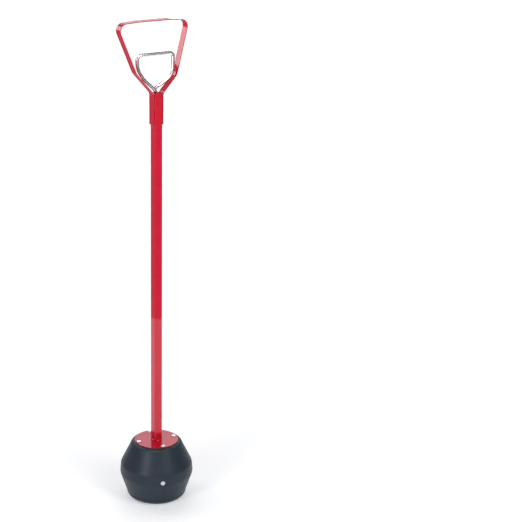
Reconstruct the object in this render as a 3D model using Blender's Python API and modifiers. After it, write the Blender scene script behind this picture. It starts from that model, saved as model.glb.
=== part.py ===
"""Magnetic nail sweeper: riveted two-part housing, square tube handle, pull-ring release.

Metres, +Z up. The flat underside of the housing lies on z = 0 and the tube axis is
the Z axis. The carrying handle and the pull ring lie in the XZ plane.
"""
import bpy
import bmesh
from math import cos, sin, pi, radians, atan2, tan
from mathutils import Matrix, Vector

MM = 0.001
GAP = 0.3 * MM                 # clearance between pieces that touch

# ---- housing -------------------------------------------------------------------------
BELT_R_LOW = 68.8 * MM         # largest radius, at the foot of the belt
BELT_R_TOP = 67.3 * MM
BELT_Z_LOW = 48.8 * MM
BELT_Z_TOP = 66.7 * MM
TOP_Z = 110.6 * MM             # flat top of the housing
TOP_FLAT_R = 42.2 * MM
SHOULDER_R = 6.0 * MM
TOP_TURN = 63.6                # degrees from the flat top to the upper cone
BELT_SOFT = 20.0 * MM          # radius of the soft edges above and below the belt
WALL = 2.2 * MM
CEILING = 2.6 * MM
FLOOR = 2.3 * MM
FOOT_R = 56.4 * MM             # lower cone where the bottom rounding begins
FOOT_Z = 12.4 * MM
FACE_R = 44.7 * MM             # flat working face
SPIGOT_R = 65.3 * MM
SKIRT_IN_R = 65.6 * MM
SPIGOT_TOP = 65.0 * MM

# ---- rivets --------------------------------------------------------------------------
SIDE_RIVETS = 3
SIDE_RIVET_Z = 53.2 * MM
SIDE_RIVET_START = -20.0       # degrees from -Y towards +X
TOP_RIVETS = 4
TOP_RIVET_CIRCLE = 35.1 * MM
TOP_RIVET_START = -9.4

# ---- top plate, tube and handle ------------------------------------------------------
PLATE_R = 41.0 * MM
PLATE_T = 2.0 * MM
TUBE_W = 16.0 * MM
TUBE_WALL = 1.2 * MM
TUBE_CORNER = 2.0 * MM
TUBE_TOP = 779.0 * MM
BAR_T = 1.5 * MM               # flat bar of the carrying handle
BAR_W = 16.0 * MM
LEFT_FIT = 0.5 * MM            # extra clearance of the left leg, as it was bent
LEG_FOOT_Z = 722.5 * MM
BORE_R = 6.8 * MM              # hole for the guide bush through plate and ceiling

# ---- lift rod and magnet pack --------------------------------------------------------
WIRE_R = 3.1 * MM
ROD_FOOT_Z = 13.5 * MM
TRAVEL = 45.0 * MM             # lift of the magnet above the working face
POT_R = 44.5 * MM
POT_WALL = 2.2 * MM
POT_Z = 2.8 * MM
POT_PLATE_Z = 22.9 * MM
POT_TOP = 26.9 * MM
FERRITE_IN_R = 15.0 * MM
FERRITE_OUT_R = 42.0 * MM
SPRING_MEAN_R = 8.2 * MM
SPRING_WIRE_R = 0.6 * MM
SPRING_TURNS = 11
SEAT_R = 11.0 * MM

PLATE_Z = TOP_Z + GAP
PLATE_TOP = PLATE_Z + PLATE_T
TUBE_Z = PLATE_TOP + GAP
RIGHT_X = TUBE_W / 2 + GAP + BAR_T / 2
LEFT_X = -RIGHT_X - LEFT_FIT
CEILING_Z = TOP_Z - CEILING

# Corner points (x, z, bend radius in mm) of the handle bar's centre line. The loop
# leans a little towards -X, as its bends are not equal.
HANDLE_PATH = [
    (LEFT_X / MM, 722.5, 0), (LEFT_X / MM, 778.9, 12), (-43.8, 817.5, 25),
    (-81.0, 905.2, 13), (-38.0, 907.4, 60), (24.0, 907.4, 60), (61.6, 904.9, 13),
    (37.0, 808.6, 20), (RIGHT_X / MM, 778.4, 12), (RIGHT_X / MM, 722.5, 0),
]
# Centre line of the pull wire: free end at the foot of the ring, round the ring,
# then down the tube to the magnet.
WIRE_PATH = [
    (-1.9, 788.7, 0), (22.0, 801.2, 36), (32.7, 813.5, 24), (33.8, 848.6, 8),
    (-38.0, 848.3, 8), (-38.8, 826.0, 34), (-26.5, 806.0, 70), (-5.5, 787.5, 4),
    (0.0, 779.0, 8), (0.0, ROD_FOOT_Z / MM, 0),
]


# ---- helpers -------------------------------------------------------------------------
for item in list(bpy.data.objects):
    bpy.data.objects.remove(item, do_unlink=True)

part_bin = bpy.data.collections.new("magnetic_nail_sweeper")
cutter_bin = bpy.data.collections.new("cutters")
for shelf in (part_bin, cutter_bin):
    bpy.context.scene.collection.children.link(shelf)


def material(name, colour, rough, metal=0.0):
    mat = bpy.data.materials.new(name)
    mat.use_nodes = True
    shader = mat.node_tree.nodes["Principled BSDF"]
    shader.inputs["Base Color"].default_value = (*colour, 1.0)
    shader.inputs["Roughness"].default_value = rough
    shader.inputs["Metallic"].default_value = metal
    mat.diffuse_color = (*colour, 1.0)
    return mat


SLATE = material("slate_plastic", (0.035, 0.045, 0.058), 0.42)
RED = material("red_paint", (0.55, 0.012, 0.025), 0.22)
ZINC = material("zinc_steel", (0.62, 0.63, 0.64), 0.30, 1.0)
CHROME = material("bright_wire", (0.78, 0.78, 0.77), 0.14, 1.0)
FERRITE = material("ferrite", (0.055, 0.055, 0.058), 0.60)
NYLON = material("nylon", (0.72, 0.71, 0.66), 0.50)
SPRING_STEEL = material("spring_steel", (0.40, 0.40, 0.41), 0.35, 1.0)


def keep(obj, mat, smooth=True):
    """Give the object its material and shading, and put it with the parts."""
    for shelf in list(obj.users_collection):
        shelf.objects.unlink(obj)
    part_bin.objects.link(obj)
    obj.data.materials.clear()
    obj.data.materials.append(mat)
    for poly in obj.data.polygons:
        poly.use_smooth = smooth
    return obj


def baked(obj, name=None):
    """Return a mesh object holding the evaluated shape of obj, which is removed."""
    graph = bpy.context.evaluated_depsgraph_get()
    mesh = bpy.data.meshes.new_from_object(obj.evaluated_get(graph))
    matrix = obj.matrix_world.copy()
    label = name or obj.name
    bpy.data.objects.remove(obj, do_unlink=True)
    mesh.transform(matrix)
    bm = bmesh.new()
    bm.from_mesh(mesh)
    bmesh.ops.remove_doubles(bm, verts=bm.verts, dist=1e-6)
    bmesh.ops.recalc_face_normals(bm, faces=bm.faces)
    bm.to_mesh(mesh)
    bm.free()
    new = bpy.data.objects.new(label, mesh)
    bpy.context.scene.collection.objects.link(new)
    return new


def lathe(name, points, closed=True, steps=72):
    """Turn a profile of (radius, height) points about the Z axis."""
    mesh = bpy.data.meshes.new(name)
    count = len(points)
    edges = [(i, i + 1) for i in range(count - 1)]
    if closed:
        edges.append((count - 1, 0))
    mesh.from_pydata([(r, 0.0, z) for r, z in points], edges, [])
    obj = bpy.data.objects.new(name, mesh)
    bpy.context.scene.collection.objects.link(obj)
    screw = obj.modifiers.new("turn", 'SCREW')
    screw.angle = 2 * pi
    screw.steps = steps
    screw.render_steps = steps
    screw.use_merge_vertices = True
    screw.merge_threshold = 1e-5
    screw.use_normal_calculate = True
    bpy.context.view_layer.update()
    return baked(obj)


def ring(name, inner, outer, low, high, steps=48, chamfer=0.0):
    """A plain washer-shaped body."""
    c = chamfer
    if c:
        points = [(inner, high), (outer - c, high), (outer, high - c),
                  (outer, low + c), (outer - c, low), (inner, low)]
    else:
        points = [(inner, high), (outer, high), (outer, low), (inner, low)]
    return lathe(name, points, True, steps)


def outline(name, loops, low, high):
    """Extrude flat closed outlines between two heights; inner loops are holes."""
    curve = bpy.data.curves.new(name, 'CURVE')
    curve.dimensions = '2D'
    curve.fill_mode = 'BOTH'
    curve.extrude = (high - low) / 2
    for loop in loops:
        spline = curve.splines.new('POLY')
        spline.points.add(len(loop) - 1)
        for point, (x, y) in zip(spline.points, loop):
            point.co = (x, y, 0.0, 1.0)
        spline.use_cyclic_u = True
    obj = bpy.data.objects.new(name, curve)
    obj.location.z = (low + high) / 2
    bpy.context.scene.collection.objects.link(obj)
    bpy.context.view_layer.update()
    return baked(obj)


def circle(radius, count=32, x=0.0, y=0.0):
    return [(x + radius * cos(2 * pi * i / count), y + radius * sin(2 * pi * i / count))
            for i in range(count)]


def rounded_square(half, radius, steps=4):
    points = []
    for quarter in range(4):
        sx = 1 if quarter in (0, 3) else -1
        sy = 1 if quarter in (0, 1) else -1
        for i in range(steps + 1):
            a = (quarter + i / steps) * pi / 2
            points.append((sx * (half - radius) + radius * cos(a),
                           sy * (half - radius) + radius * sin(a)))
    return points


def filleted(corners, step=8.0):
    """Turn (x, z, radius) corners in mm into a smooth list of points in metres."""
    points = []
    last = len(corners) - 1
    for i, (x, z, radius) in enumerate(corners):
        here = Vector((x, z))
        if i in (0, last) or not radius:
            points.append(here * MM)
            continue
        back = (Vector(corners[i - 1][:2]) - here).normalized()
        ahead = (Vector(corners[i + 1][:2]) - here).normalized()
        half = back.angle(ahead) / 2
        reach = radius / tan(half)
        start = here + back * reach
        centre = here + (back + ahead).normalized() * (radius / sin(half))
        turn = pi - 2 * half
        count = max(2, int(round(turn / radians(step))))
        spoke = start - centre
        side = 1 if back.cross(ahead) < 0 else -1
        for k in range(count + 1):
            a = side * turn * k / count
            points.append((centre + Matrix.Rotation(a, 2) @ spoke) * MM)
    return points


def keep_set(name, pieces, mat, smooth=True):
    """Name alike pieces name_1, name_2 and so on."""
    for number, piece in enumerate(pieces, 1):
        piece.name = "%s_%d" % (name, number)
        keep(piece, mat, smooth)


def placed(obj, matrix):
    """Move a finished shape; its origin stays on the tube axis."""
    obj.data.transform(matrix)
    return obj


def drill(target, cutters):
    """Cut the cutters out of the target; they stay hidden in their own collection."""
    for number, cutter in enumerate(cutters):
        cutter.hide_render = True
        cutter.display_type = 'WIRE'
        for users in list(cutter.users_collection):
            users.objects.unlink(cutter)
        cutter_bin.objects.link(cutter)
        modifier = target.modifiers.new("cut%d" % number, 'BOOLEAN')
        modifier.operation = 'DIFFERENCE'
        modifier.solver = 'EXACT'
        modifier.object = cutter
    bpy.context.view_layer.update()
    graph = bpy.context.evaluated_depsgraph_get()
    mesh = bpy.data.meshes.new_from_object(target.evaluated_get(graph))
    target.modifiers.clear()
    target.data = mesh
    for cutter in cutters:
        bpy.data.objects.remove(cutter, do_unlink=True)
    return target


def rod_cutter(radius, start, end, count=24):
    """A cylinder between two points, used only for drilling."""
    start, end = Vector(start), Vector(end)
    bpy.ops.mesh.primitive_cylinder_add(vertices=count, radius=radius,
                                        depth=(end - start).length)
    obj = bpy.context.object
    turn = (end - start).to_track_quat('Z', 'Y').to_matrix().to_4x4()
    obj.data.transform(Matrix.Translation((start + end) / 2) @ turn)
    return obj


def around(radius, z, degrees):
    """Point on a circle; the angle runs from -Y towards +X."""
    a = radians(degrees)
    return Vector((radius * sin(a), -radius * cos(a), z))


# ---- housing -------------------------------------------------------------------------
def clip(points, top, bottom):
    """The part of a falling profile between two heights."""
    kept = []
    for one, two in zip(points, points[1:]):
        for height in (top, bottom):
            if one.y > height > two.y:
                kept.append(one.lerp(two, (one.y - height) / (one.y - two.y)))
        if bottom <= two.y <= top:
            kept.append(two)
    return sorted(((p.x, p.y) for p in kept), key=lambda p: -p[1])


# Outer profile: flat top, shoulder, cone, belt, lower cone. The edges are soft.
cone_foot = SHOULDER_R * tan(radians(TOP_TURN) / 2)
outer = filleted([
    (0.0, TOP_Z / MM, 0), ((TOP_FLAT_R + cone_foot) / MM, TOP_Z / MM, SHOULDER_R / MM),
    (BELT_R_TOP / MM, BELT_Z_TOP / MM, BELT_SOFT / MM),
    (BELT_R_LOW / MM, BELT_Z_LOW / MM, BELT_SOFT / MM), (FOOT_R / MM, FOOT_Z / MM, 0)], 5.5)
upper_outer = [(p.x, p.y) for p in outer[1:] if p.y > BELT_Z_LOW]
upper_outer.append(clip(outer, BELT_Z_LOW, 0.0)[0])
SEAM_Z = BELT_Z_LOW - GAP
lower_outer = clip(outer, SEAM_Z, FOOT_Z)
lean = atan2(BELT_R_TOP - TOP_FLAT_R - cone_foot, TOP_Z - BELT_Z_TOP)
inset = WALL / cos(lean)
cone_in = TOP_FLAT_R + cone_foot + SHOULDER_R * tan(lean) - inset
upper_housing = lathe("upper_housing", [
    (BORE_R, TOP_Z), *upper_outer, (SKIRT_IN_R, BELT_Z_LOW),
    (SKIRT_IN_R, SPIGOT_TOP + GAP), (BELT_R_TOP - inset - 0.3 * MM, SPIGOT_TOP + GAP),
    (BELT_R_TOP - inset - 0.8 * MM, BELT_Z_TOP + 1.0 * MM),
    (cone_in, TOP_Z - SHOULDER_R), (cone_in - 1.0 * MM, CEILING_Z), (BORE_R, CEILING_Z)],
    steps=64)

side_angles = [SIDE_RIVET_START + 360.0 / SIDE_RIVETS * i for i in range(SIDE_RIVETS)]
top_angles = [TOP_RIVET_START + 360.0 / TOP_RIVETS * i for i in range(TOP_RIVETS)]


def side_drills():
    return [rod_cutter(2.1 * MM, around(58 * MM, SIDE_RIVET_Z, a),
                       around(75 * MM, SIDE_RIVET_Z, a)) for a in side_angles]


def top_drills(low, high):
    return [rod_cutter(2.6 * MM, around(TOP_RIVET_CIRCLE, low, a),
                       around(TOP_RIVET_CIRCLE, high, a)) for a in top_angles]


keep(drill(upper_housing, side_drills() + top_drills(100 * MM, 118 * MM)), SLATE)

foot_out = [(FACE_R + (FOOT_R - FACE_R) * cos(a), FOOT_Z * (1 - sin(a)))
            for a in [pi / 2 * i / 6 for i in range(7)]]
in_r, in_z, in_face = FOOT_R - 2.4 * MM, FOOT_Z + 0.5 * MM, FACE_R - 0.2 * MM
foot_in = [(in_face + (in_r - in_face) * cos(a), FLOOR + (in_z - FLOOR) * (1 - sin(a)))
           for a in [pi / 2 * i / 6 for i in range(6, -1, -1)]]
low_slope = (BELT_R_LOW - FOOT_R) / (BELT_Z_LOW - FOOT_Z)
spigot_in = SPIGOT_R - WALL
lower_housing = lathe("lower_housing", [
    (0.0, FLOOR), *foot_in, (spigot_in, in_z + (spigot_in - in_r) / low_slope),
    (spigot_in, SPIGOT_TOP), (SPIGOT_R, SPIGOT_TOP), (SPIGOT_R, SEAM_Z),
    *lower_outer[:-1], *foot_out, (0.0, 0.0)], closed=False, steps=64)
keep(drill(lower_housing, side_drills()), SLATE)


# ---- blind rivets --------------------------------------------------------------------
def rivet(name, head_r, head_h, shank_r, grip, bulb_r, bulb_h):
    """Blind rivet along +Z with the underside of its head at z = 0."""
    dome = [(head_r * cos(a), head_h * sin(a) + 0.25 * MM)
            for a in [radians(d) for d in (62, 45, 30, 15, 0)]]
    pit = 1.15 * MM
    return lathe(name, [
        (0.0, head_h - 0.9 * MM), (pit, head_h - 0.9 * MM), (pit, head_h + 0.15 * MM),
        *dome, (head_r, 0.0), (shank_r, 0.0), (shank_r, -grip), (bulb_r, -grip - 0.8 * MM),
        (bulb_r, -grip - bulb_h + 0.8 * MM), (shank_r, -grip - bulb_h),
        (0.0, -grip - bulb_h)], closed=False, steps=16)


side_seat = BELT_R_LOW - (SIDE_RIVET_Z - BELT_Z_LOW) * (BELT_R_LOW - BELT_R_TOP) \
    / (BELT_Z_TOP - BELT_Z_LOW) + GAP + 0.2 * MM
pieces = []
for a in side_angles:
    one = rivet("rivet", 4.2 * MM, 1.4 * MM, 1.8 * MM, side_seat - spigot_in + GAP,
                2.7 * MM, 3.0 * MM)
    out = around(1.0, 0.0, a)
    turn = out.to_track_quat('Z', 'Y').to_matrix().to_4x4()
    pieces.append(placed(one, Matrix.Translation(around(side_seat, SIDE_RIVET_Z, a)) @ turn))
keep_set("side_rivet", pieces, ZINC)

WASHER_Z = CEILING_Z - GAP - 1.2 * MM
pieces, washers = [], []
for a in top_angles:
    seat = around(TOP_RIVET_CIRCLE, PLATE_TOP + GAP, a)
    one = rivet("rivet", 4.7 * MM, 1.6 * MM, 2.3 * MM, PLATE_TOP + 2 * GAP - WASHER_Z,
                3.4 * MM, 4.0 * MM)
    pieces.append(placed(one, Matrix.Translation(seat)))
    disc = ring("washer", 2.6 * MM, 6.0 * MM, WASHER_Z, CEILING_Z - GAP, 20)
    washers.append(placed(disc, Matrix.Translation((seat.x, seat.y, 0))))
keep_set("top_rivet", pieces, ZINC)
keep_set("top_rivet_washer", washers, ZINC)

# ---- top plate, tube, bushes ---------------------------------------------------------
top_plate = ring("top_plate", BORE_R, PLATE_R, PLATE_Z, PLATE_TOP, 64, 0.35 * MM)
keep(drill(top_plate, top_drills(105 * MM, 120 * MM)), RED)

half = TUBE_W / 2
handle_tube = outline("handle_tube", [
    rounded_square(half, TUBE_CORNER, 5),
    rounded_square(half - TUBE_WALL, TUBE_CORNER - TUBE_WALL, 3)], TUBE_Z, TUBE_TOP)
keep(handle_tube, RED)

bush_in = half - TUBE_WALL - 0.4 * MM
upper_bush = outline("upper_guide_bush", [
    rounded_square(bush_in, 0.8 * MM, 2), circle(WIRE_R + 0.4 * MM, 32)],
    TUBE_TOP - 20 * MM, TUBE_TOP - 6 * MM)
keep(upper_bush, NYLON)

FLANGE_LOW = CEILING_Z - GAP - 3.0 * MM
lower_bush = lathe("lower_guide_bush", [
    (WIRE_R + 0.4 * MM, TUBE_Z + 6 * MM), (6.4 * MM, TUBE_Z + 6 * MM),
    (6.4 * MM, CEILING_Z - GAP), (13 * MM, CEILING_Z - GAP), (13 * MM, FLANGE_LOW),
    (WIRE_R + 0.4 * MM, FLANGE_LOW)], steps=48)
keep(lower_bush, NYLON)


# ---- weld beads ----------------------------------------------------------------------
def bead(length, reach, rise):
    """Quarter ellipsoid: long in Y, against the planes x = 0 and z = 0."""
    bpy.ops.mesh.primitive_uv_sphere_add(segments=12, ring_count=8, radius=1.0)
    obj = bpy.context.object
    obj.data.transform(Matrix.Diagonal((reach, length / 2, rise, 1.0)))
    bm = bmesh.new()
    bm.from_mesh(obj.data)
    for normal in ((1, 0, 0), (0, 0, 1)):
        cut = bmesh.ops.bisect_plane(
            bm, geom=bm.verts[:] + bm.edges[:] + bm.faces[:], dist=1e-7,
            plane_co=(0, 0, 0), plane_no=normal, clear_inner=True)
        rim = [e for e in cut["geom_cut"] if isinstance(e, bmesh.types.BMEdge)]
        bmesh.ops.edgeloop_fill(bm, edges=rim)
    bmesh.ops.remove_doubles(bm, verts=bm.verts, dist=1e-6)
    bmesh.ops.recalc_face_normals(bm, faces=bm.faces)
    bm.to_mesh(obj.data)
    bm.free()
    return obj


pieces = []
for quarter in range(4):
    spin = Matrix.Rotation(quarter * pi / 2, 4, 'Z')
    shift = Matrix.Translation((half + GAP, 0, PLATE_TOP + GAP))
    pieces.append(placed(bead(9 * MM, 2.6 * MM, 2.4 * MM), spin @ shift))
keep_set("tube_weld", pieces, RED)

feet, rims = [], []
for side in (0, 1):
    spin = Matrix.Rotation(side * pi, 4, 'Z')
    under = Matrix.Translation((half + GAP, 0, LEG_FOOT_Z - GAP)) @ Matrix.Rotation(pi, 4, 'X')
    feet.append(placed(bead(9 * MM, 2.0 * MM, 2.2 * MM), spin @ under))
    over = Matrix.Translation((-half - 1.2 * MM, 0, TUBE_TOP + GAP))
    rims.append(placed(bead(9 * MM, 2.2 * MM, 1.6 * MM), spin @ over))
keep_set("handle_foot_weld", feet, RED)
keep_set("handle_rim_weld", rims, RED)

# ---- carrying handle -----------------------------------------------------------------
line = filleted(HANDLE_PATH)
left, right = [], []
for i, point in enumerate(line):
    before = line[max(i - 1, 0)]
    after = line[min(i + 1, len(line) - 1)]
    along = (after - before).normalized()
    if 0 < i < len(line) - 1:
        one = (point - before).normalized()
        two = (after - point).normalized()
        along = (one + two).normalized()
        width = BAR_T / 2 / max(0.5, along.dot(one))
    else:
        width = BAR_T / 2
    side = Vector((-along.y, along.x)) * width
    left.append(point + side)
    right.append(point - side)
loop = [(p.x, p.y) for p in left + right[::-1]]
handle = outline("carry_handle", [loop], -BAR_W / 2, BAR_W / 2)
placed(handle, Matrix.Rotation(pi / 2, 4, 'X'))
keep(handle, RED, smooth=False)


# ---- lift rod with its pull ring -----------------------------------------------------
def wire(name, points, radius, resolution, closed_ends=True):
    curve = bpy.data.curves.new(name, 'CURVE')
    curve.dimensions = '3D'
    curve.bevel_depth = radius
    curve.bevel_resolution = resolution
    curve.use_fill_caps = closed_ends
    spline = curve.splines.new('POLY')
    spline.points.add(len(points) - 1)
    for point, co in zip(spline.points, points):
        point.co = (*co, 1.0)
    obj = bpy.data.objects.new(name, curve)
    bpy.context.scene.collection.objects.link(obj)
    bpy.context.view_layer.update()
    return baked(obj)


path = [(p.x, 0.0, p.y) for p in filleted(WIRE_PATH, 12.0)]
keep(wire("pull_wire", path, WIRE_R, 3), CHROME)

hexagon = [(5.77 * MM * cos(radians(60 * i)), 5.77 * MM * sin(radians(60 * i)))
           for i in range(6)]
ROD_HOLE = WIRE_R + GAP
BUSH_TOP = POT_TOP + GAP + 1.0 * MM
UP_WASHER = BUSH_TOP + GAP
UP_NUT = UP_WASHER + 1.2 * MM + GAP
SEAT_Z = UP_NUT + 5.0 * MM + GAP
LOW_WASHER = POT_PLATE_Z - 2 * GAP - 1.2 * MM
LOW_NUT = LOW_WASHER - GAP - 5.0 * MM
nuts = [outline("nut", [hexagon, circle(ROD_HOLE, 24)], z, z + 5.0 * MM)
        for z in (LOW_NUT, UP_NUT)]
keep_set("rod_nut", nuts, ZINC, smooth=False)
rings = [ring("washer", ROD_HOLE, 6.25 * MM, z, z + 1.2 * MM, 32)
         for z in (LOW_WASHER, UP_WASHER)]
keep_set("rod_washer", rings, ZINC)
keep(ring("lower_spring_seat", ROD_HOLE, SEAT_R, SEAT_Z, SEAT_Z + 1.2 * MM), ZINC)
COLLAR_TOP = FLANGE_LOW - TRAVEL - GAP
keep(ring("stop_collar", ROD_HOLE, 5.5 * MM, COLLAR_TOP - 5.0 * MM, COLLAR_TOP, 32,
          0.4 * MM), ZINC)

# ---- return spring -------------------------------------------------------------------
UPPER_SEAT_Z = FLANGE_LOW - GAP - 1.5 * MM
keep(ring("upper_spring_seat", 6.2 * MM, SEAT_R, UPPER_SEAT_Z, UPPER_SEAT_Z + 1.5 * MM), ZINC)
low = SEAT_Z + 1.2 * MM + GAP + SPRING_WIRE_R
high = UPPER_SEAT_Z - GAP - SPRING_WIRE_R
PER_TURN = 12
PITCH_END = 2 * SPRING_WIRE_R + 0.25 * MM
count = SPRING_TURNS * PER_TURN
coil = []
for i in range(count + 1):
    turns = i / PER_TURN
    left_over = SPRING_TURNS - turns
    body = (high - low - 2 * PITCH_END) / (SPRING_TURNS - 2)
    if turns < 1:
        z = low + PITCH_END * turns
    elif left_over < 1:
        z = high - PITCH_END * left_over
    else:
        z = low + PITCH_END + body * (turns - 1)
    a = 2 * pi * turns
    coil.append((SPRING_MEAN_R * cos(a), SPRING_MEAN_R * sin(a), z))
keep(wire("return_spring", coil, SPRING_WIRE_R, 2), SPRING_STEEL)

# ---- magnet pack ---------------------------------------------------------------------
POLE_OUT = 14.6 * MM
POLE_IN = 8.5 * MM
SCREW_CIRCLE = 11.5 * MM
screw_angles = [30.0 + 120.0 * i for i in range(3)]
BUSH_HOLE = 5.2 * MM
POT_IN = POT_R - POT_WALL
pot = lathe("magnet_pot", [
    (BUSH_HOLE, POT_TOP), (POT_R - 1.5 * MM, POT_TOP), (POT_R, POT_TOP - 1.5 * MM),
    (POT_R, POT_Z), (POT_IN, POT_Z), (POT_IN, POT_PLATE_Z), (BUSH_HOLE, POT_PLATE_Z)],
    steps=56)


def pole_drills(radius, low, high):
    return [rod_cutter(radius, around(SCREW_CIRCLE, low, a), around(SCREW_CIRCLE, high, a),
                       20) for a in screw_angles]


keep(drill(pot, pole_drills(1.8 * MM, 15 * MM, 30 * MM)), ZINC)
FACE_Z = POT_Z + GAP
MID_Z = (FACE_Z + POT_PLATE_Z - GAP) / 2
keep(ring("ferrite_lower", FERRITE_IN_R, FERRITE_OUT_R, FACE_Z, MID_Z - GAP / 2, 48), FERRITE)
keep(ring("ferrite_upper", FERRITE_IN_R, FERRITE_OUT_R, MID_Z + GAP / 2,
          POT_PLATE_Z - GAP, 48), FERRITE)
pole = ring("centre_pole", POLE_IN, POLE_OUT, FACE_Z, POT_PLATE_Z - GAP, 40)
sinks = []
for a in screw_angles:
    bpy.ops.mesh.primitive_cone_add(vertices=20, radius1=3.8 * MM, radius2=1.6 * MM,
                                    depth=2.2 * MM)
    sink = bpy.context.object
    spot = around(SCREW_CIRCLE, FACE_Z + 0.9 * MM, a)
    sink.data.transform(Matrix.Translation(spot))
    sinks.append(sink)
pole = drill(pole, pole_drills(1.8 * MM, -2 * MM, 30 * MM))
keep(drill(pole, sinks), ZINC)
screws = []
for a in screw_angles:
    head = FACE_Z + 0.3 * MM
    one = lathe("screw", [
        (0.0, POT_TOP - 0.6 * MM), (1.5 * MM, POT_TOP - 0.6 * MM), (1.5 * MM, head + 1.5 * MM),
        (2.5 * MM, head + 0.2 * MM), (2.5 * MM, head), (0.9 * MM, head), (0.9 * MM, head + 0.8 * MM),
        (0.0, head + 0.8 * MM)], closed=False, steps=16)
    spot = around(SCREW_CIRCLE, 0.0, a)
    screws.append(placed(one, Matrix.Translation(spot)))
keep_set("pole_screw", screws, ZINC)
bush = lathe("pack_bush", [
    (ROD_HOLE, BUSH_TOP), (7.2 * MM, BUSH_TOP), (7.2 * MM, POT_TOP + GAP),
    (4.9 * MM, POT_TOP + GAP), (4.9 * MM, POT_PLATE_Z - GAP), (ROD_HOLE, POT_PLATE_Z - GAP)],
    steps=36)
keep(bush, NYLON)

# ---- moving groups -------------------------------------------------------------------
lift_axis = bpy.data.objects.new("lift_axis", None)
swivel_axis = bpy.data.objects.new("swivel_axis", None)
for empty in (lift_axis, swivel_axis):
    part_bin.objects.link(empty)
swivel_axis.parent = lift_axis
LIFTED = ("pull_wire", "rod_nut_1", "rod_nut_2", "rod_washer_1", "rod_washer_2",
          "lower_spring_seat", "stop_collar")
TURNING = ("magnet_pot", "ferrite_lower", "ferrite_upper", "centre_pole", "pack_bush",
           "pole_screw_1", "pole_screw_2", "pole_screw_3")
for name in LIFTED:
    bpy.data.objects[name].parent = lift_axis
for name in TURNING:
    bpy.data.objects[name].parent = swivel_axis
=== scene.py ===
"""Looks for the magnetic nail sweeper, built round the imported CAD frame. Metres, +Z up."""
import math

import bpy
import bmesh
from mathutils import Matrix, Vector, noise


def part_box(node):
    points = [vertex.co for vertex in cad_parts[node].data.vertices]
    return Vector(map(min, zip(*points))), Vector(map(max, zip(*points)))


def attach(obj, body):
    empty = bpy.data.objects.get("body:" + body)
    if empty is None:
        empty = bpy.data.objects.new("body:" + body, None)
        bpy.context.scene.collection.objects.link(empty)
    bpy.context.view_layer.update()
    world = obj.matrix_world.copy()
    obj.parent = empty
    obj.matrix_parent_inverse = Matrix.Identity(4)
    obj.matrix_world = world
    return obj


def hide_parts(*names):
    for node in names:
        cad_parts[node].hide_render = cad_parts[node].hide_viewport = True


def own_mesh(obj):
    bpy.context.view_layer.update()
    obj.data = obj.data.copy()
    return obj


MM = 0.001
TAU = 2 * math.pi

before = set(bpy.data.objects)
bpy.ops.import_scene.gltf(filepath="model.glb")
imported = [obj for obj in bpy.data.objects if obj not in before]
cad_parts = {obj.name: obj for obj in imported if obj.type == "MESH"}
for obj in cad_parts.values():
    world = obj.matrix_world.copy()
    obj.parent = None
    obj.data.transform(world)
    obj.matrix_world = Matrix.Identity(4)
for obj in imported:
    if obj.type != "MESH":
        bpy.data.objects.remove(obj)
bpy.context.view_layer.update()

# ---- sizes shared with the CAD, in millimetres ---------------------------------------
TOP_Z = 110.6
CEILING_Z = 108.0
SHOULDER = (45.92, TOP_Z, 6.0)  # sharp corner and its rounding
BELT_ROUND = 20.0
SEAM_Z = 48.8
BELT_TOP = (67.28, 66.7)
BELT_LOW = (68.78, 48.8)
FOOT = (56.4, 12.4)
FACE_R = 44.7
PLATE_LOW, PLATE_HIGH, PLATE_R = 110.9, 112.9, 41.0
BORE_R = 6.8
TUBE_LOW, TUBE_HIGH, TUBE_HALF, TUBE_WALL = 113.2, 779.0, 8.0, 1.2
BAR_W, BAR_T = 16.0, 1.5
LEFT_X, RIGHT_X = -9.55, 9.05
WIRE_R = 3.1
GAP = 0.3
TOP_RIVETS = [(35.1, -9.4 + 90 * i) for i in range(4)]
SIDE_RIVETS = [-20.0 + 120 * i for i in range(3)]
SIDE_RIVET_Z = 53.2
SIDE_RIVET_SEAT = 68.93        # radius of the underside of the heads
SPIGOT_R, SKIRT_IN_R = 65.3, 65.6
SPIGOT_TOP = 65.0
LEG_FOOT_Z = 722.5             # lower end of the loop handle's legs
BEAD_LENGTH = 9.0

HANDLE_PATH = [
    (LEFT_X, LEG_FOOT_Z, 0), (LEFT_X, 778.9, 12), (-43.8, 817.5, 25), (-81.0, 905.2, 13),
    (-38.0, 907.4, 60), (24.0, 907.4, 60), (61.6, 904.9, 13), (37.0, 808.6, 20),
    (RIGHT_X, 778.4, 12), (RIGHT_X, LEG_FOOT_Z, 0),
]
WIRE_PATH = [
    (-1.9, 788.7, 0), (22.0, 801.2, 36), (32.7, 813.5, 24), (33.8, 848.6, 8),
    (-38.0, 848.3, 8), (-38.8, 826.0, 34), (-26.5, 806.0, 70), (-5.5, 787.5, 4),
    (0.0, 779.0, 8), (0.0, 13.5, 0),
]


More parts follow.
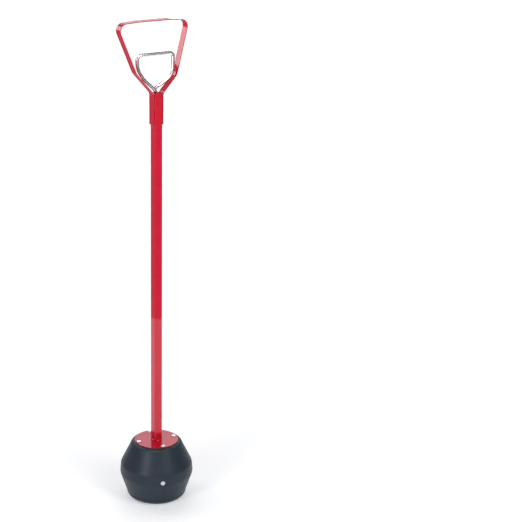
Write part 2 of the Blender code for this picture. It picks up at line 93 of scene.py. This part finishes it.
# ---- node materials ------------------------------------------------------------------
class Shader:
    """A Principled material and the few node chains that the finishes below share."""

    def __init__(self, name, colour, rough, metal=0.0):
        self.mat = bpy.data.materials.new(name)
        self.mat.use_nodes = True
        self.tree = self.mat.node_tree
        self.bsdf = self.tree.nodes["Principled BSDF"]
        self.set("Base Color", (*colour, 1.0))
        self.set("Roughness", rough)
        self.set("Metallic", metal)
        self.coords = self.tree.nodes.new("ShaderNodeTexCoord").outputs["Object"]
        self.height = None

    def set(self, socket, value):
        self.bsdf.inputs[socket].default_value = value

    def link(self, out, socket):
        self.tree.links.new(out, socket)

    def stretch(self, scale):
        node = self.tree.nodes.new("ShaderNodeMapping")
        node.inputs["Scale"].default_value = scale
        self.link(self.coords, node.inputs["Vector"])
        return node.outputs["Vector"]

    def noise(self, scale, detail=3.0, rough=0.5, stretch=None):
        node = self.tree.nodes.new("ShaderNodeTexNoise")
        node.inputs["Scale"].default_value = scale
        node.inputs["Detail"].default_value = detail
        node.inputs["Roughness"].default_value = rough
        self.link(self.stretch(stretch) if stretch else self.coords, node.inputs["Vector"])
        return node.outputs["Fac"]

    def cells(self, scale):
        node = self.tree.nodes.new("ShaderNodeTexVoronoi")
        node.inputs["Scale"].default_value = scale
        self.link(self.coords, node.inputs["Vector"])
        return node.outputs["Distance"]

    def remap(self, out, low, high, to_low, to_high):
        node = self.tree.nodes.new("ShaderNodeMapRange")
        for key, value in (("From Min", low), ("From Max", high),
                           ("To Min", to_low), ("To Max", to_high)):
            node.inputs[key].default_value = value
        self.link(out, node.inputs["Value"])
        return node.outputs["Result"]

    def times(self, one, two):
        node = self.tree.nodes.new("ShaderNodeMath")
        node.operation = "MULTIPLY"
        for index, value in enumerate((one, two)):
            if isinstance(value, (int, float)):
                node.inputs[index].default_value = value
            else:
                self.link(value, node.inputs[index])
        return node.outputs[0]

    def mix(self, factor, one, two):
        """Colour mix; each side is a colour or a socket."""
        node = self.tree.nodes.new("ShaderNodeMix")
        node.data_type = "RGBA"
        self.link(factor, node.inputs["Factor"])
        for key, value in (("A", one), ("B", two)):
            socket = [s for s in node.inputs if s.name == key and s.type == "RGBA"][0]
            if isinstance(value, tuple):
                socket.default_value = (*value, 1.0)
            else:
                self.link(value, socket)
        return [s for s in node.outputs if s.type == "RGBA"][0]

    def colour(self, out):
        self.link(out, self.bsdf.inputs["Base Color"])

    def rough(self, out):
        self.link(out, self.bsdf.inputs["Roughness"])

    def bump(self, out, strength, distance):
        """Adds a bump layer; layers chain from coarse to fine."""
        node = self.tree.nodes.new("ShaderNodeBump")
        node.inputs["Strength"].default_value = strength
        node.inputs["Distance"].default_value = distance
        self.link(out, node.inputs["Height"])
        if self.height:
            self.link(self.height, node.inputs["Normal"])
        self.height = node.outputs["Normal"]
        self.link(self.height, self.bsdf.inputs["Normal"])
        if self.bsdf.inputs["Coat Weight"].default_value:
            self.link(self.height, self.bsdf.inputs["Coat Normal"])


def slate_plastic():
    s = Shader("slate_plastic", (0.014, 0.023, 0.037), 0.44)
    s.set("IOR", 1.49)
    s.set("Specular IOR Level", 0.30)
    cloud = s.remap(s.noise(28.0, 3.0), 0.3, 0.7, 0.0, 1.0)
    base = s.mix(cloud, (0.0135, 0.0225, 0.0355), (0.0180, 0.0280, 0.0430))
    scuffs = s.times(
        s.remap(s.noise(900.0, 2.0, 0.6, (1.0, 1.0, 0.12)), 0.60, 0.80, 0.0, 1.0),
        s.remap(s.noise(34.0, 2.0), 0.50, 0.72, 0.0, 1.0))
    s.colour(s.mix(s.times(scuffs, 0.30), base, (0.075, 0.088, 0.105)))
    grain = s.noise(1500.0, 4.0, 0.6)
    s.rough(s.remap(s.noise(120.0, 4.0, 0.6), 0.3, 0.7, 0.38, 0.48))
    s.bump(s.noise(45.0, 2.0), 0.12, 0.0006)
    s.bump(grain, 0.25, 0.00006)
    return s.mat


def red_paint(name="red_paint", painted_shade_factor=1.0):
    """Gloss paint; a last argument below 1 darkens its colour: painted shade, for the dark
    reflection along an edge.
    """
    s = Shader(name, (0.53 * painted_shade_factor, 0.003, 0.022 * painted_shade_factor), 0.32)
    s.set("Coat Weight", 1.0)
    s.set("Coat Roughness", 0.025)
    s.set("Coat IOR", 1.5)
    s.set("Specular IOR Level", 0.05)
    cloud = s.remap(s.noise(60.0, 3.0), 0.3, 0.7, 0.0, 1.0)
    base = s.mix(cloud, (0.520 * painted_shade_factor, 0.0025, 0.021 * painted_shade_factor),
                 (0.575 * painted_shade_factor, 0.0035, 0.026 * painted_shade_factor))
    specks = s.remap(s.noise(2600.0, 1.0), 0.70, 0.80, 0.0, 0.5)
    s.colour(s.mix(specks, base, (0.36 * painted_shade_factor, 0.004, 0.012 * painted_shade_factor)))
    s.rough(s.remap(s.noise(420.0, 3.0), 0.3, 0.7, 0.26, 0.40))
    s.bump(s.noise(330.0, 2.0, 0.45), 0.10, 0.00010)
    return s.mat


def rivet_metal():
    s = Shader("rivet_aluminium", (0.70, 0.71, 0.72), 0.30, 1.0)
    s.colour(s.mix(s.remap(s.noise(500.0, 3.0), 0.3, 0.7, 0.0, 1.0),
                   (0.62, 0.63, 0.64), (0.78, 0.79, 0.80)))
    s.rough(s.remap(s.noise(900.0, 4.0, 0.6), 0.3, 0.7, 0.22, 0.40))
    s.bump(s.noise(1100.0, 3.0), 0.18, 0.00005)
    return s.mat


def bright_wire():
    s = Shader("bright_wire", (0.84, 0.85, 0.85), 0.10, 1.0)
    s.colour(s.mix(s.remap(s.noise(90.0, 4.0), 0.35, 0.7, 0.0, 1.0),
                   (0.78, 0.79, 0.79), (0.90, 0.90, 0.90)))
    s.rough(s.remap(s.noise(700.0, 4.0, 0.65), 0.3, 0.7, 0.06, 0.20))
    s.bump(s.noise(160.0, 2.0), 0.10, 0.0001)
    s.bump(s.noise(2200.0, 2.0, 0.6, (1.0, 1.0, 0.10)), 0.10, 0.00002)
    return s.mat


def zinc_steel(name="zinc_steel", colour=(0.60, 0.61, 0.62), rough=0.32):
    s = Shader(name, colour, rough, 1.0)
    dull = tuple(c * 0.82 for c in colour)
    s.colour(s.mix(s.remap(s.cells(420.0), 0.1, 0.6, 0.0, 1.0), colour, dull))
    s.rough(s.remap(s.noise(300.0, 4.0, 0.6), 0.3, 0.7, rough - 0.08, rough + 0.12))
    s.bump(s.noise(900.0, 3.0), 0.15, 0.00005)
    return s.mat


def ferrite():
    s = Shader("ferrite", (0.045, 0.045, 0.047), 0.62)
    s.colour(s.mix(s.remap(s.noise(260.0, 4.0), 0.3, 0.7, 0.0, 1.0),
                   (0.035, 0.035, 0.037), (0.075, 0.074, 0.073)))
    s.rough(s.remap(s.noise(500.0, 3.0), 0.3, 0.7, 0.52, 0.74))
    s.bump(s.noise(1300.0, 5.0, 0.7), 0.4, 0.0001)
    return s.mat


def nylon():
    s = Shader("nylon", (0.70, 0.69, 0.63), 0.48)
    s.set("Subsurface Weight", 0.12)
    s.set("Subsurface Scale", 0.002)
    s.colour(s.mix(s.remap(s.noise(140.0, 3.0), 0.3, 0.7, 0.0, 1.0),
                   (0.66, 0.65, 0.58), (0.76, 0.75, 0.70)))
    s.rough(s.remap(s.noise(350.0, 3.0), 0.3, 0.7, 0.42, 0.56))
    s.bump(s.noise(1000.0, 3.0), 0.2, 0.00006)
    return s.mat


PLASTIC = slate_plastic()
PAINT = red_paint()
RIVET = rivet_metal()
WIRE = bright_wire()
ZINC = zinc_steel()
SPRING = zinc_steel("spring_steel", (0.42, 0.42, 0.44), 0.30)
FERRITE = ferrite()
NYLON = nylon()


# ---- shape helpers -------------------------------------------------------------------
def fillet(corners, step=3.0):
    """Corners (x, y, radius) to a smooth open list of 2D points."""
    points = []
    for i, (x, y, radius) in enumerate(corners):
        here = Vector((x, y))
        if i in (0, len(corners) - 1) or not radius:
            points.append(here)
            continue
        back = (Vector(corners[i - 1][:2]) - here).normalized()
        ahead = (Vector(corners[i + 1][:2]) - here).normalized()
        half = back.angle(ahead) / 2
        start = here + back * radius / math.tan(half)
        centre = here + (back + ahead).normalized() * radius / math.sin(half)
        turn = math.pi - 2 * half
        count = max(2, round(math.degrees(turn) / step))
        side = 1 if back.cross(ahead) < 0 else -1
        points += [centre + Matrix.Rotation(side * turn * k / count, 2) @ (start - centre)
                   for k in range(count + 1)]
    return points


def finish_mesh(name, bm, mat, body, nodes, sharp=35.0, flats=True):
    """Turn a bmesh in millimetres into a piece that rides on a body."""
    bmesh.ops.remove_doubles(bm, verts=bm.verts, dist=1e-4)
    bmesh.ops.recalc_face_normals(bm, faces=bm.faces)
    mesh = bpy.data.meshes.new(name)
    bm.to_mesh(mesh)
    bm.free()
    mesh.transform(Matrix.Scale(MM, 4))
    mesh.materials.append(mat)
    mesh.shade_smooth()
    mesh.set_sharp_from_angle(angle=math.radians(sharp))
    obj = bpy.data.objects.new(name, mesh)
    bpy.context.scene.collection.objects.link(obj)
    if flats:                  # keeps the shading of flat faces flat beside their rounded edges
        weigh = obj.modifiers.new("flats", "WEIGHTED_NORMAL")
        weigh.keep_sharp = True
        weigh.weight = 80
    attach(obj, body)
    if nodes:
        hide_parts(*nodes)
    return obj


def rings_mesh(rings, cap=False):
    """Join rings of points into a skin: cap closes both ends, else the last meets the first."""
    bm = bmesh.new()
    rows = [[bm.verts.new(p) for p in ring] for ring in rings]
    count = len(rings[0])
    pairs = list(zip(rows, rows[1:]))
    if not cap:
        pairs.append((rows[-1], rows[0]))
    for one, two in pairs:
        for k in range(count):
            n = (k + 1) % count
            bm.faces.new((one[k], one[n], two[n], two[k]))
    if cap:
        bm.faces.new(rows[0][::-1])
        bm.faces.new(rows[-1])
    return bm


def turned(points, steps):
    """Turn (r, z) points round Z. Points on the axis close the surface by themselves."""
    bm = bmesh.new()
    rows = []
    for r, z in points:
        if r < 1e-6:
            rows.append([bm.verts.new((0, 0, z))])
        else:
            rows.append([bm.verts.new((r * math.cos(TAU * k / steps),
                                       r * math.sin(TAU * k / steps), z))
                         for k in range(steps)])
    pairs = list(zip(rows, rows[1:]))
    if len(rows[0]) > 1:
        pairs.append((rows[-1], rows[0]))
    for one, two in pairs:
        for k in range(steps):
            n = (k + 1) % steps
            if len(one) == 1 and len(two) == 1:
                continue
            if len(one) == 1:
                bm.faces.new((one[0], two[k], two[n]))
            elif len(two) == 1:
                bm.faces.new((one[k], two[0], one[n]))
            else:
                bm.faces.new((one[k], two[k], two[n], one[n]))
    return bm


def on_circle(radius, z, degrees):
    """Point on a circle; the angle runs from -Y towards +X, as in the CAD."""
    a = math.radians(degrees)
    return Vector((radius * math.sin(a), -radius * math.cos(a), z))


def clip(points, top, bottom):
    """The part of a falling profile between two heights."""
    kept = []
    for one, two in zip(points, points[1:]):
        for height in (top, bottom):
            if one.y > height > two.y:
                kept.append(one.lerp(two, (one.y - height) / (one.y - two.y)))
        if bottom <= two.y <= top:
            kept.append(two.copy())
    return sorted(((p.x, p.y) for p in kept), key=lambda p: -p[1])


# ---- housing -------------------------------------------------------------------------
outline = fillet([(0.0, TOP_Z, 0), SHOULDER, (*BELT_TOP, BELT_ROUND),
                  (*BELT_LOW, BELT_ROUND), (*FOOT, 0)], 2.0)
upper_outer = [(p.x, p.y) for p in outline[1:] if p.y > SEAM_Z + 0.5]
seam_r = clip(outline, SEAM_Z, 0.0)[0][0]
lip = 0.14                     # eased edges of the seam
upper = [(BORE_R, TOP_Z), (20.0, TOP_Z), *upper_outer, (seam_r, SEAM_Z + lip),
         (seam_r - 0.04, SEAM_Z + 0.04), (seam_r - lip, SEAM_Z), (SKIRT_IN_R, SEAM_Z),
         (SKIRT_IN_R, SPIGOT_TOP + GAP), (64.2, SPIGOT_TOP + GAP), (63.7, 67.7),
         (45.65, 104.6), (44.65, CEILING_Z), (BORE_R, CEILING_Z)]
finish_mesh("housing_upper_shell", turned(upper, 192), PLASTIC, "frame_body",
            ["upper_housing"], 40.0)

low_seam = SEAM_Z - 0.12
lower_outer = clip(outline, low_seam - lip, FOOT[1])
foot_out = [(FACE_R + (FOOT[0] - FACE_R) * math.cos(a), FOOT[1] * (1 - math.sin(a)))
            for a in [math.pi / 2 * i / 18 for i in range(19)]]
lower = [(0.0, 2.3), (44.0, 2.3), (48.6, 3.3), (52.0, 6.3), (54.2, 12.9), (63.1, 40.6),
         (63.1, SPIGOT_TOP - 0.3), (63.4, SPIGOT_TOP), (SPIGOT_R - 0.3, SPIGOT_TOP),
         (SPIGOT_R, SPIGOT_TOP - 0.3), (SPIGOT_R, low_seam),
         (seam_r - lip, low_seam), (seam_r - 0.04, low_seam - 0.04), *lower_outer[:-1],
         *foot_out, (20.0, 0.0), (0.0, 0.0)]
finish_mesh("housing_lower_shell", turned(lower, 192), PLASTIC, "frame_body",
            ["lower_housing"], 40.0)

# ---- top plate -----------------------------------------------------------------------
edge = fillet([(20.0, PLATE_HIGH, 0), (PLATE_R, PLATE_HIGH, 0.35),
               (PLATE_R, PLATE_LOW, 0.4), (20.0, PLATE_LOW, 0)], 15.0)
plate = [(BORE_R, PLATE_HIGH)] + [(p.x, p.y) for p in edge] + [(BORE_R, PLATE_LOW)]
disc = finish_mesh("disc_plate", turned(plate, 160), PAINT, "frame_body",
                   ["top_plate"], 50.0)
# The disc's rim takes a darker copy of the paint: painted shade for the dark reflection along
# its forward-facing edge.
disc.data.materials.append(red_paint("red_paint_painted_shade_edge", 0.30))
for face in disc.data.polygons:
    if face.center.xy.length > (PLATE_R - 0.6) * MM and abs(face.normal.z) < 0.9:
        face.material_index = 1


# ---- square tube ---------------------------------------------------------------------
def square_ring(half, radius, z, steps=8):
    """Rounded square at a height."""
    points = []
    for quarter in range(4):
        sx = 1 if quarter in (0, 3) else -1
        sy = 1 if quarter in (0, 1) else -1
        for i in range(steps + 1):
            a = (quarter + i / steps) * math.pi / 2
            points.append((sx * (half - radius) + radius * math.cos(a),
                           sy * (half - radius) + radius * math.sin(a), z))
    return points


inner_half = TUBE_HALF - TUBE_WALL
corner, inner_corner, rim = 2.0, 0.8, 0.35
body_z = [TUBE_LOW + rim + (TUBE_HIGH - TUBE_LOW - 2 * rim) * i / 40 for i in range(1, 40)]


def tube_end(a, z, way):
    """A ring of the tube's eased end; a runs from 0 at the end to a right angle."""
    inset = rim * (1 - math.sin(a))
    return square_ring(TUBE_HALF - inset, corner - inset, z + way * rim * (1 - math.cos(a)))


rings = [tube_end(a, TUBE_LOW, 1) for a in (0.0, math.pi / 4, math.pi / 2)]
rings += [square_ring(TUBE_HALF, corner, z) for z in body_z]
rings += [tube_end(a, TUBE_HIGH, -1) for a in (math.pi / 2, math.pi / 4, 0.0)]
rings += [square_ring(inner_half, inner_corner, TUBE_HIGH - 0.1),
          square_ring(inner_half, inner_corner, TUBE_LOW)]
finish_mesh("square_tube", rings_mesh(rings), PAINT, "frame_body",
            ["handle_tube"], 40.0)


# ---- loop handle ---------------------------------------------------------------------
def bar_section(half_t, half_w, radius, steps=4):
    """Rounded rectangle as (across, along Y) offsets."""
    points = []
    for quarter, (st, sw) in enumerate(((1, 1), (-1, 1), (-1, -1), (1, -1))):
        for i in range(steps + 1):
            a = (quarter + i / steps) * math.pi / 2
            points.append((st * (half_t - radius) + radius * math.cos(a),
                           sw * (half_w - radius) + radius * math.sin(a)))
    return points


def evened(points, longest):
    """Split long straight runs so that the skin has even quads."""
    out = [points[0]]
    for one, two in zip(points, points[1:]):
        count = max(1, math.ceil((two - one).length / longest))
        out += [one.lerp(two, k / count) for k in range(1, count + 1)]
    return out


def directions(points):
    """Unit direction of a path at each of its points."""
    found = []
    for i, point in enumerate(points):
        before = (point - points[i - 1]).normalized() if i else None
        after = (points[i + 1] - point).normalized() if i < len(points) - 1 else None
        found.append(((before or after) + (after or before)).normalized())
    return found


line = evened(fillet(HANDLE_PATH, 3.0), 8.0)
ways = directions(line)
section = bar_section(BAR_T / 2, BAR_W / 2, 0.5)
rings = []
last = len(line) - 1
for i, (point, way) in enumerate(zip(line, ways)):
    side = Vector((-way.y, way.x))
    ends = [(0, 0.8), (0.15, 0.93), (0.4, 1.0)] if i in (0, last) else [(0, 1.0)]
    if i == last:
        ends = ends[::-1]
    for inset, size in ends:
        shift = way * inset * (1 if i == 0 else -1)
        rings.append([(point.x + shift.x + side.x * t * size, w * (0.95 + 0.05 * size),
                       point.y + shift.y + side.y * t * size) for t, w in section])
finish_mesh("loop_handle", rings_mesh(rings, cap=True), PAINT, "frame_body",
            ["carry_handle"], 50.0)


# ---- pull wire -----------------------------------------------------------------------
def wire_mesh(points, radius, sides=24, chamfer=0.5):
    """Round wire along points in the XZ plane, with eased ends."""
    ways = directions(points)
    rings = []
    for i, (point, way) in enumerate(zip(points, ways)):
        side = Vector((-way.y, way.x))
        ends = [(0.0, radius)]
        if i == 0:
            ends = [(0.0, radius - chamfer), (chamfer, radius)]
        elif i == len(points) - 1:
            ends = [(-chamfer, radius), (0.0, radius - chamfer)]
        for inset, r in ends:
            rings.append([(point.x + way.x * inset + side.x * r * math.cos(TAU * k / sides),
                           r * math.sin(TAU * k / sides),
                           point.y + way.y * inset + side.y * r * math.cos(TAU * k / sides))
                          for k in range(sides)])
    return rings_mesh(rings, cap=True)


finish_mesh("pull_ring_wire", wire_mesh(evened(fillet(WIRE_PATH, 4.0), 12.0), WIRE_R), WIRE,
            "lift_rod", ["pull_wire"], 50.0, flats=False)


# ---- blind rivets --------------------------------------------------------------------
def blind_rivet(name, place, head_r, head_h, shank_r, grip, bulb_r, bulb_h, node):
    """Domed head with the broken mandrel down its bore, shank and blind bulb."""
    top = head_h - 0.06
    dome = [(head_r * math.cos(a), top * math.sin(a) + 0.3)
            for a in [math.radians(d) for d in (70, 62, 54, 46, 38, 30, 20, 10, 0)]]
    pit = 1.3
    profile = [
        (0.0, top - 0.75), (0.45, top - 0.80), (0.72, top - 1.25),
        (pit - 0.12, top - 1.25), (pit, top - 1.0), (pit + 0.04, top - 0.02),
        (pit + 0.16, top + 0.14), *dome, (head_r - 0.05, 0.12), (head_r - 0.2, 0.0),
        (shank_r, 0.0), (shank_r, -grip), (bulb_r - 0.3, -grip - 0.4),
        (bulb_r, -grip - bulb_h * 0.4), (bulb_r - 0.4, -grip - bulb_h * 0.8),
        (shank_r, -grip - bulb_h), (0.0, -grip - bulb_h)]
    bm = turned(profile, 40)
    bmesh.ops.transform(bm, matrix=place, verts=bm.verts)
    return finish_mesh(name, bm, RIVET, "frame_body", [node], 50.0)


for i, (radius, degrees) in enumerate(TOP_RIVETS, 1):
    seat = on_circle(radius, PLATE_HIGH + GAP, degrees)
    blind_rivet("top_blind_rivet_%d" % i, Matrix.Translation(seat), 4.7, 1.6, 2.3, 7.0, 3.4,
                4.0, "top_rivet_%d" % i)
for i, degrees in enumerate(SIDE_RIVETS, 1):
    out = on_circle(1.0, 0.0, degrees)
    turn = out.to_track_quat("Z", "Y").to_matrix().to_4x4()
    place = Matrix.Translation(on_circle(SIDE_RIVET_SEAT, SIDE_RIVET_Z, degrees)) @ turn
    blind_rivet("side_blind_rivet_%d" % i, place, 4.15, 1.36, 1.8, 6.05, 2.7, 3.0,
                "side_rivet_%d" % i)


# ---- weld beads ----------------------------------------------------------------------
def weld(name, place, reach, rise, node, seed):
    """Fillet bead in the corner of x = 0 and z = 0, long in Y, with ripples."""
    length, across, along = BEAD_LENGTH, 12, 44
    rings = []
    for i in range(along + 1):
        t = -1 + 2 * i / along
        taper = max(0.04, 1 - abs(t) ** 3.2) ** 0.5
        ripple = 1 + 0.07 * math.cos(t * length * 2.3) + 0.05 * noise.noise(
            Vector((t * length * 0.7, seed, 0.3)))
        y = t * length / 2
        ring = [(0.0, y, 0.0)]
        for k in range(across + 1):
            a = math.pi / 2 * k / across
            lump = 1 + 0.05 * noise.noise(Vector((t * length, a * 2.0, seed)))
            size = min(1.0, taper * ripple * lump * 0.93)
            ring.append((reach * size * math.cos(a) ** 0.85 if k < across else 0.0, y,
                         rise * size * math.sin(a) ** 0.85))
        rings.append(ring)
    bm = rings_mesh(rings, cap=True)
    bmesh.ops.transform(bm, matrix=place, verts=bm.verts)
    return finish_mesh(name, bm, PAINT, "frame_body", [node], 60.0)


for i in range(4):
    place = (Matrix.Rotation(i * math.pi / 2, 4, "Z")
             @ Matrix.Translation((TUBE_HALF + GAP, 0, PLATE_HIGH + GAP)))
    weld("tube_bead_%d" % (i + 1), place, 2.6, 2.4, "tube_weld_%d" % (i + 1), i + 0.5)
for side in (0, 1):
    spin = Matrix.Rotation(side * math.pi, 4, "Z")
    under = (Matrix.Translation((TUBE_HALF + GAP, 0, LEG_FOOT_Z - GAP))
             @ Matrix.Rotation(math.pi, 4, "X"))
    weld("leg_foot_bead_%d" % (side + 1), spin @ under, 2.0, 2.2,
         "handle_foot_weld_%d" % (side + 1), side + 7.1)
    over = Matrix.Translation((-TUBE_HALF - 1.2, 0, TUBE_HIGH + GAP))
    weld("tube_rim_bead_%d" % (side + 1), spin @ over, 2.2, 1.6,
         "handle_rim_weld_%d" % (side + 1), side + 11.3)

# ---- return spring -------------------------------------------------------------------
(_, _, spring_low), (_, _, spring_high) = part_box("return_spring")
TURNS, MEAN_R, SPRING_R, PER_TURN, SPRING_SIDES = 11, 8.2, 0.6, 36, 10
low, high = spring_low / MM + SPRING_R, spring_high / MM - SPRING_R
dead = 2 * SPRING_R + 0.25     # height of each flat end turn
rise = (high - low - 2 * dead) / (TURNS - 2)
coil = []
for i in range(TURNS * PER_TURN + 1):
    t = i / PER_TURN
    if t < 1:
        z = low + dead * t
    elif t > TURNS - 1:
        z = high - dead * (TURNS - t)
    else:
        z = low + dead + rise * (t - 1)
    coil.append(Vector((MEAN_R * math.cos(TAU * t), MEAN_R * math.sin(TAU * t), z)))
rings = []
for i, point in enumerate(coil):
    ahead = coil[min(i + 1, len(coil) - 1)] - coil[max(i - 1, 0)]
    out = Vector((point.x, point.y, 0)).normalized()
    up = ahead.normalized().cross(out)
    spokes = [TAU * k / SPRING_SIDES for k in range(SPRING_SIDES)]
    rings.append([point + (out * math.cos(a) + up * math.sin(a)) * SPRING_R for a in spokes])
spring = finish_mesh("coil_spring", rings_mesh(rings, cap=True), SPRING, "frame_body",
                     ["return_spring"], 60.0, flats=False)
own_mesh(spring)

# ---- finishes of the CAD nodes that stay ---------------------------------------------
FINISH = {"ferrite": FERRITE, "bush": NYLON}
for name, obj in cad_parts.items():
    mat = next((m for key, m in FINISH.items() if key in name), ZINC)
    for slot in obj.material_slots:
        slot.material = mat

# ---- stage, lights and camera --------------------------------------------------------
CAM_AZIMUTH = 30.0             # degrees that the camera stands to the left of -Y
CAM_DISTANCE = 2.6616          # metres from the tube's axis, measured level
CAM_HEIGHT = 1.3644
CAM_TILT = 18.62               # degrees down
FRAME_PX, FOCAL_PX = 522, 1540.5
OFF_AXIS_PX = 104.55           # the tool stands this far left of the frame's centre
SENSOR_MM = 36.0
FLOOR_Z = -0.0004
FLOOR_EDGE, FLOOR_END = 0.95, 7.0
FLOOR_STEPS = 96

a = math.radians(CAM_AZIMUTH)
toward = Vector((math.sin(a), math.cos(a), 0.0))
right = Vector((math.cos(a), -math.sin(a), 0.0))
tilt = math.radians(CAM_TILT)
ahead = toward * math.cos(tilt) - Vector((0, 0, math.sin(tilt)))
up = toward * math.sin(tilt) + Vector((0, 0, math.cos(tilt)))
basis = Matrix((right, up, -ahead)).transposed()
yaw = Matrix.Rotation(-math.atan(OFF_AXIS_PX / FOCAL_PX), 3, "Y")
cam_data = bpy.data.cameras.new("camera")
cam_data.sensor_width = SENSOR_MM
cam_data.lens = FOCAL_PX / FRAME_PX * SENSOR_MM
camera = bpy.data.objects.new("camera", cam_data)
camera.matrix_world = (Matrix.Translation(-toward * CAM_DISTANCE
                                          + Vector((0, 0, CAM_HEIGHT)))
                       @ (basis @ yaw).to_4x4())
bpy.context.scene.collection.objects.link(camera)
bpy.context.scene.camera = camera

# The floor is a pale round sheet. Its outer part is out of the mirror-like surfaces' sight,
# as in a room where only the table round the tool is lit.
s = Shader("pale_floor_painted_glow", (0.92, 0.92, 0.92), 0.8)
s.set("Specular IOR Level", 0.1)
s.set("Emission Color", (1.0, 1.0, 1.0, 1.0))
# The floor glows by itself, more the farther out from the tool: painted light that whitens it
# towards the backdrop.
reach = s.tree.nodes.new("ShaderNodeVectorMath")
reach.operation = "LENGTH"
s.link(s.coords, reach.inputs[0])
s.link(s.remap(reach.outputs["Value"], 0.2, 2.6, 0.30, 0.72),
       s.bsdf.inputs["Emission Strength"])
s.colour(s.mix(s.noise(9.0, 2.0), (0.915, 0.915, 0.915), (0.93, 0.93, 0.93)))
s.rough(s.remap(s.noise(40.0, 2.0), 0.3, 0.7, 0.75, 0.85))
for name, inner, outer in (("floor_near", 0.0, FLOOR_EDGE),
                           ("floor_far", FLOOR_EDGE, FLOOR_END)):
    bm = bmesh.new()
    spokes = [TAU * k / FLOOR_STEPS for k in range(FLOOR_STEPS)]
    rows = [[bm.verts.new((r * math.cos(a), r * math.sin(a), FLOOR_Z)) for a in spokes]
            for r in (inner, outer) if r]
    if inner:
        for k in range(FLOOR_STEPS):
            n = (k + 1) % FLOOR_STEPS
            bm.faces.new((rows[0][k], rows[1][k], rows[1][n], rows[0][n]))
    else:
        bm.faces.new(rows[0])
    mesh = bpy.data.meshes.new(name)
    bm.to_mesh(mesh)
    bm.free()
    mesh.materials.append(s.mat)
    floor = bpy.data.objects.new(name, mesh)
    floor.visible_glossy = not inner
    bpy.context.scene.collection.objects.link(floor)


def studio(dim, patches, seen):
    """World of one dim tone with soft bright patches: (direction, half angle, fade, tone).

    The camera sees a plain backdrop of the tone seen; everything else sees the studio.
    """
    world = bpy.data.worlds.new("studio")
    world.use_nodes = True
    tree = world.node_tree
    tree.nodes.clear()

    def node(kind, **values):
        made = tree.nodes.new(kind)
        for key, value in values.items():
            setattr(made, key, value)
        return made

    way = node("ShaderNodeTexCoord").outputs["Generated"]
    tone = None
    for direction, half, fade, level in patches:
        dot = node("ShaderNodeVectorMath", operation="DOT_PRODUCT")
        dot.inputs[1].default_value = direction.normalized()
        tree.links.new(way, dot.inputs[0])
        ramp = node("ShaderNodeMapRange", interpolation_type="SMOOTHSTEP")
        ramp.inputs["From Min"].default_value = math.cos(math.radians(half + fade))
        ramp.inputs["From Max"].default_value = math.cos(math.radians(half))
        ramp.inputs["To Min"].default_value = 0.0
        ramp.inputs["To Max"].default_value = level - dim
        tree.links.new(dot.outputs["Value"], ramp.inputs["Value"])
        add = node("ShaderNodeMath", operation="ADD")
        add.inputs[1].default_value = dim
        if tone:
            tree.links.new(tone, add.inputs[1])
        tree.links.new(ramp.outputs["Result"], add.inputs[0])
        tone = add.outputs[0]
    tint = node("ShaderNodeVectorMath", operation="MULTIPLY")
    tint.inputs[1].default_value = (0.965, 0.985, 1.045)
    tree.links.new(tone, tint.inputs[0])
    light = node("ShaderNodeBackground")
    tree.links.new(tint.outputs[0], light.inputs["Color"])
    backdrop = node("ShaderNodeBackground")
    backdrop.inputs["Color"].default_value = (seen, seen, seen, 1.0)
    mix = node("ShaderNodeMixShader")
    tree.links.new(node("ShaderNodeLightPath").outputs["Is Camera Ray"], mix.inputs[0])
    tree.links.new(light.outputs[0], mix.inputs[1])
    tree.links.new(backdrop.outputs[0], mix.inputs[2])
    tree.links.new(mix.outputs[0], node("ShaderNodeOutputWorld").inputs["Surface"])
    bpy.context.scene.world = world


def aimed(azimuth, elevation):
    """Direction by degrees to the right of the camera's side, and above the horizon."""
    a, e = math.radians(azimuth), math.radians(elevation)
    flat = -toward * math.cos(a) + right * math.sin(a)
    return flat * math.cos(e) + Vector((0, 0, math.sin(e)))


studio(0.26, [(aimed(180, 32), 10, 22, 1.20), (aimed(0, 8), 16, 18, 0.95)], 1.0)


def softbox(name, azimuth, distance, height, aim, size, power, matt=True, gloss=True):
    """Area light that stands round the tool and faces its axis at the height aim.

    One without gloss is out of sight of mirror-like surfaces; one without matt shows only there.
    """
    data = bpy.data.lights.new(name, "AREA")
    data.shape = "RECTANGLE"
    data.size, data.size_y = size
    data.energy = power
    obj = bpy.data.objects.new(name, data)
    obj.visible_camera = False
    obj.visible_diffuse = matt
    obj.visible_glossy = gloss
    obj.location = aimed(azimuth, 0) * distance + Vector((0, 0, height))
    way = obj.location - Vector((0, 0, aim))
    obj.rotation_euler = way.to_track_quat("Z", "Y").to_euler()
    bpy.context.scene.collection.objects.link(obj)


softbox("key_left", -37, 1.5, 0.86, 0.70, (0.34, 0.95), 7.6)
softbox("fill_right", 44, 1.5, 1.30, 0.40, (0.72, 1.2), 11.0)
softbox("strip_left", -118, 1.0, 1.32, 1.10, (0.36, 0.86), 3.3)
softbox("back", 178, 1.2, 2.2, 0.30, (1.6, 1.0), 8.0, gloss=False)
softbox("gleam", -40, 1.5, 0.80, 0.60, (0.14, 1.0), 2.4, matt=False)
softbox("glint", 180, 0.9, 0.90, 0.30, (0.9, 0.22), 3.2, matt=False)
softbox("shoulder", 0, 0.75, 1.75, 0.10, (0.56, 0.30), 11.0, matt=False)

bpy.context.scene.view_settings.view_transform = "Standard"
